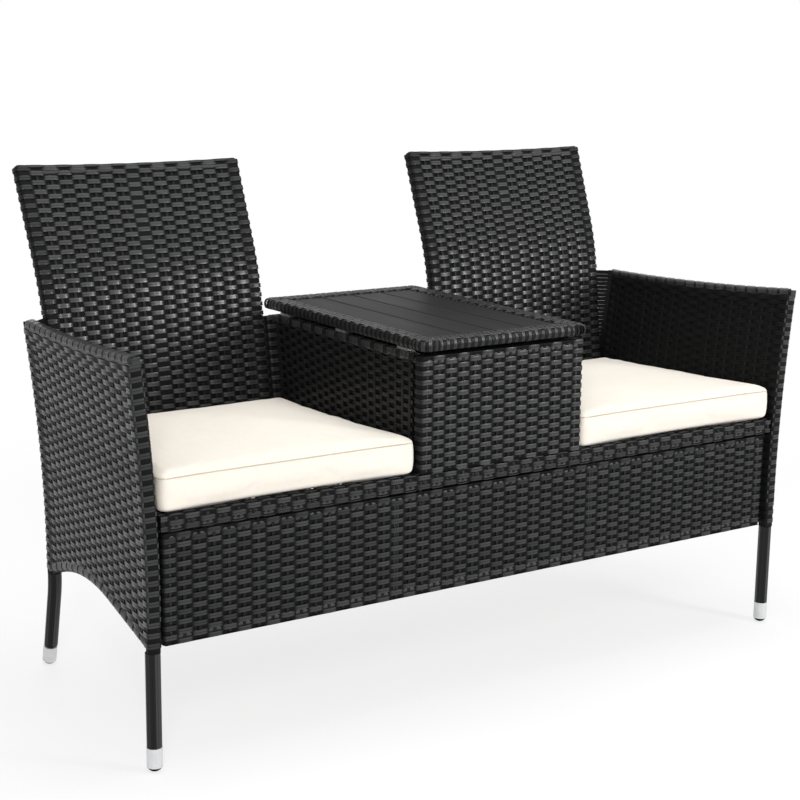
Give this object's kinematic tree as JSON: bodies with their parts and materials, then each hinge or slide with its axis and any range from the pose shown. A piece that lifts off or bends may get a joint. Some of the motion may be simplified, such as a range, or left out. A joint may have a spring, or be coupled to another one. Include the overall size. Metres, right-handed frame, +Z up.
{
  "type": "garden bench with table",
  "caption": "Black woven rattan garden bench with cushioned seats, flared arched arms, leaning backs and a slatted console table between the seats.",
  "frame": {"origin": "on the ground, under the middle of the bench's overall box", "axes": "+X along the bench, to the right seen from the front; +Y from front to back; +Z up"},
  "size_m": [1.3282, 0.5867, 0.8582],
  "materials": {
    "wicker": "flat plastic strand, satin, woven",
    "tube": "black powder coat",
    "slat": "charcoal plank with a fine grain",
    "strap": "bare steel",
    "fastener": "plain steel",
    "glide": "black, matte",
    "sleeve": "matte silver",
    "cushion": "ivory woven cloth with a piped seam"
  },
  "bodies": {
    "frame": {"apron_bolts": "fastener", "apron_frame": "tube", "apron_panel": "wicker", "arm_arch_rail_left": "tube", "arm_arch_rail_right": "tube", "arm_panel_left": "wicker", "arm_panel_right": "wicker", "arm_rail_left": "tube", "arm_rail_right": "tube", "arm_seat_brace_left": "tube", "arm_seat_brace_right": "tube", "back_frame_left": "tube", "back_frame_right": "tube", "back_panel_left": "wicker", "back_panel_right": "wicker", "console_frame": "tube", "console_front_panel": "wicker", "console_rear_panel": "wicker", "console_side_panel_left": "wicker", "console_side_panel_right": "wicker", "front_foot_glide_left": "glide", "front_foot_glide_right": "glide", "front_foot_sleeve_left": "sleeve", "front_foot_sleeve_right": "sleeve", "front_leg_left": "tube", "front_leg_right": "tube", "front_leg_wrap_left": "wicker", "front_leg_wrap_right": "wicker", "post_bolts": "fastener", "rear_foot_glide_left": "glide", "rear_foot_glide_right": "glide", "rear_foot_sleeve_left": "sleeve", "rear_foot_sleeve_right": "sleeve", "rear_leg_left": "tube", "rear_leg_right": "tube", "rear_leg_wrap_left": "wicker", "rear_leg_wrap_right": "wicker", "seat_bolts": "fastener", "seat_cross_rail_left": "tube", "seat_cross_rail_right": "tube", "seat_deck_left": "wicker", "seat_deck_right": "wicker", "seat_end_rail_left": "tube", "seat_end_rail_right": "tube", "seat_front_rail": "tube", "seat_front_wrap": "wicker", "seat_middle_rail_left": "tube", "seat_middle_rail_right": "tube", "seat_rear_rail": "tube", "seat_rear_wrap": "wicker", "table_rim": "wicker", "table_screws": "fastener", "table_slat_1": "slat", "table_slat_2": "slat", "table_slat_3": "slat", "table_slat_4": "slat", "table_straps": "strap"},
    "cushion_left": {"cushion_left": "cushion"},
    "cushion_right": {"cushion_right": "cushion"}
  },
  "joints": [
    {"name": "cushion_left_lift", "type": "slide", "parent": "frame", "child": "cushion_left", "axis": [0, 0, 1], "range_m": [0, 0.25]},
    {"name": "cushion_right_lift", "type": "slide", "parent": "frame", "child": "cushion_right", "axis": [0, 0, 1], "range_m": [0, 0.25]}
  ]
}
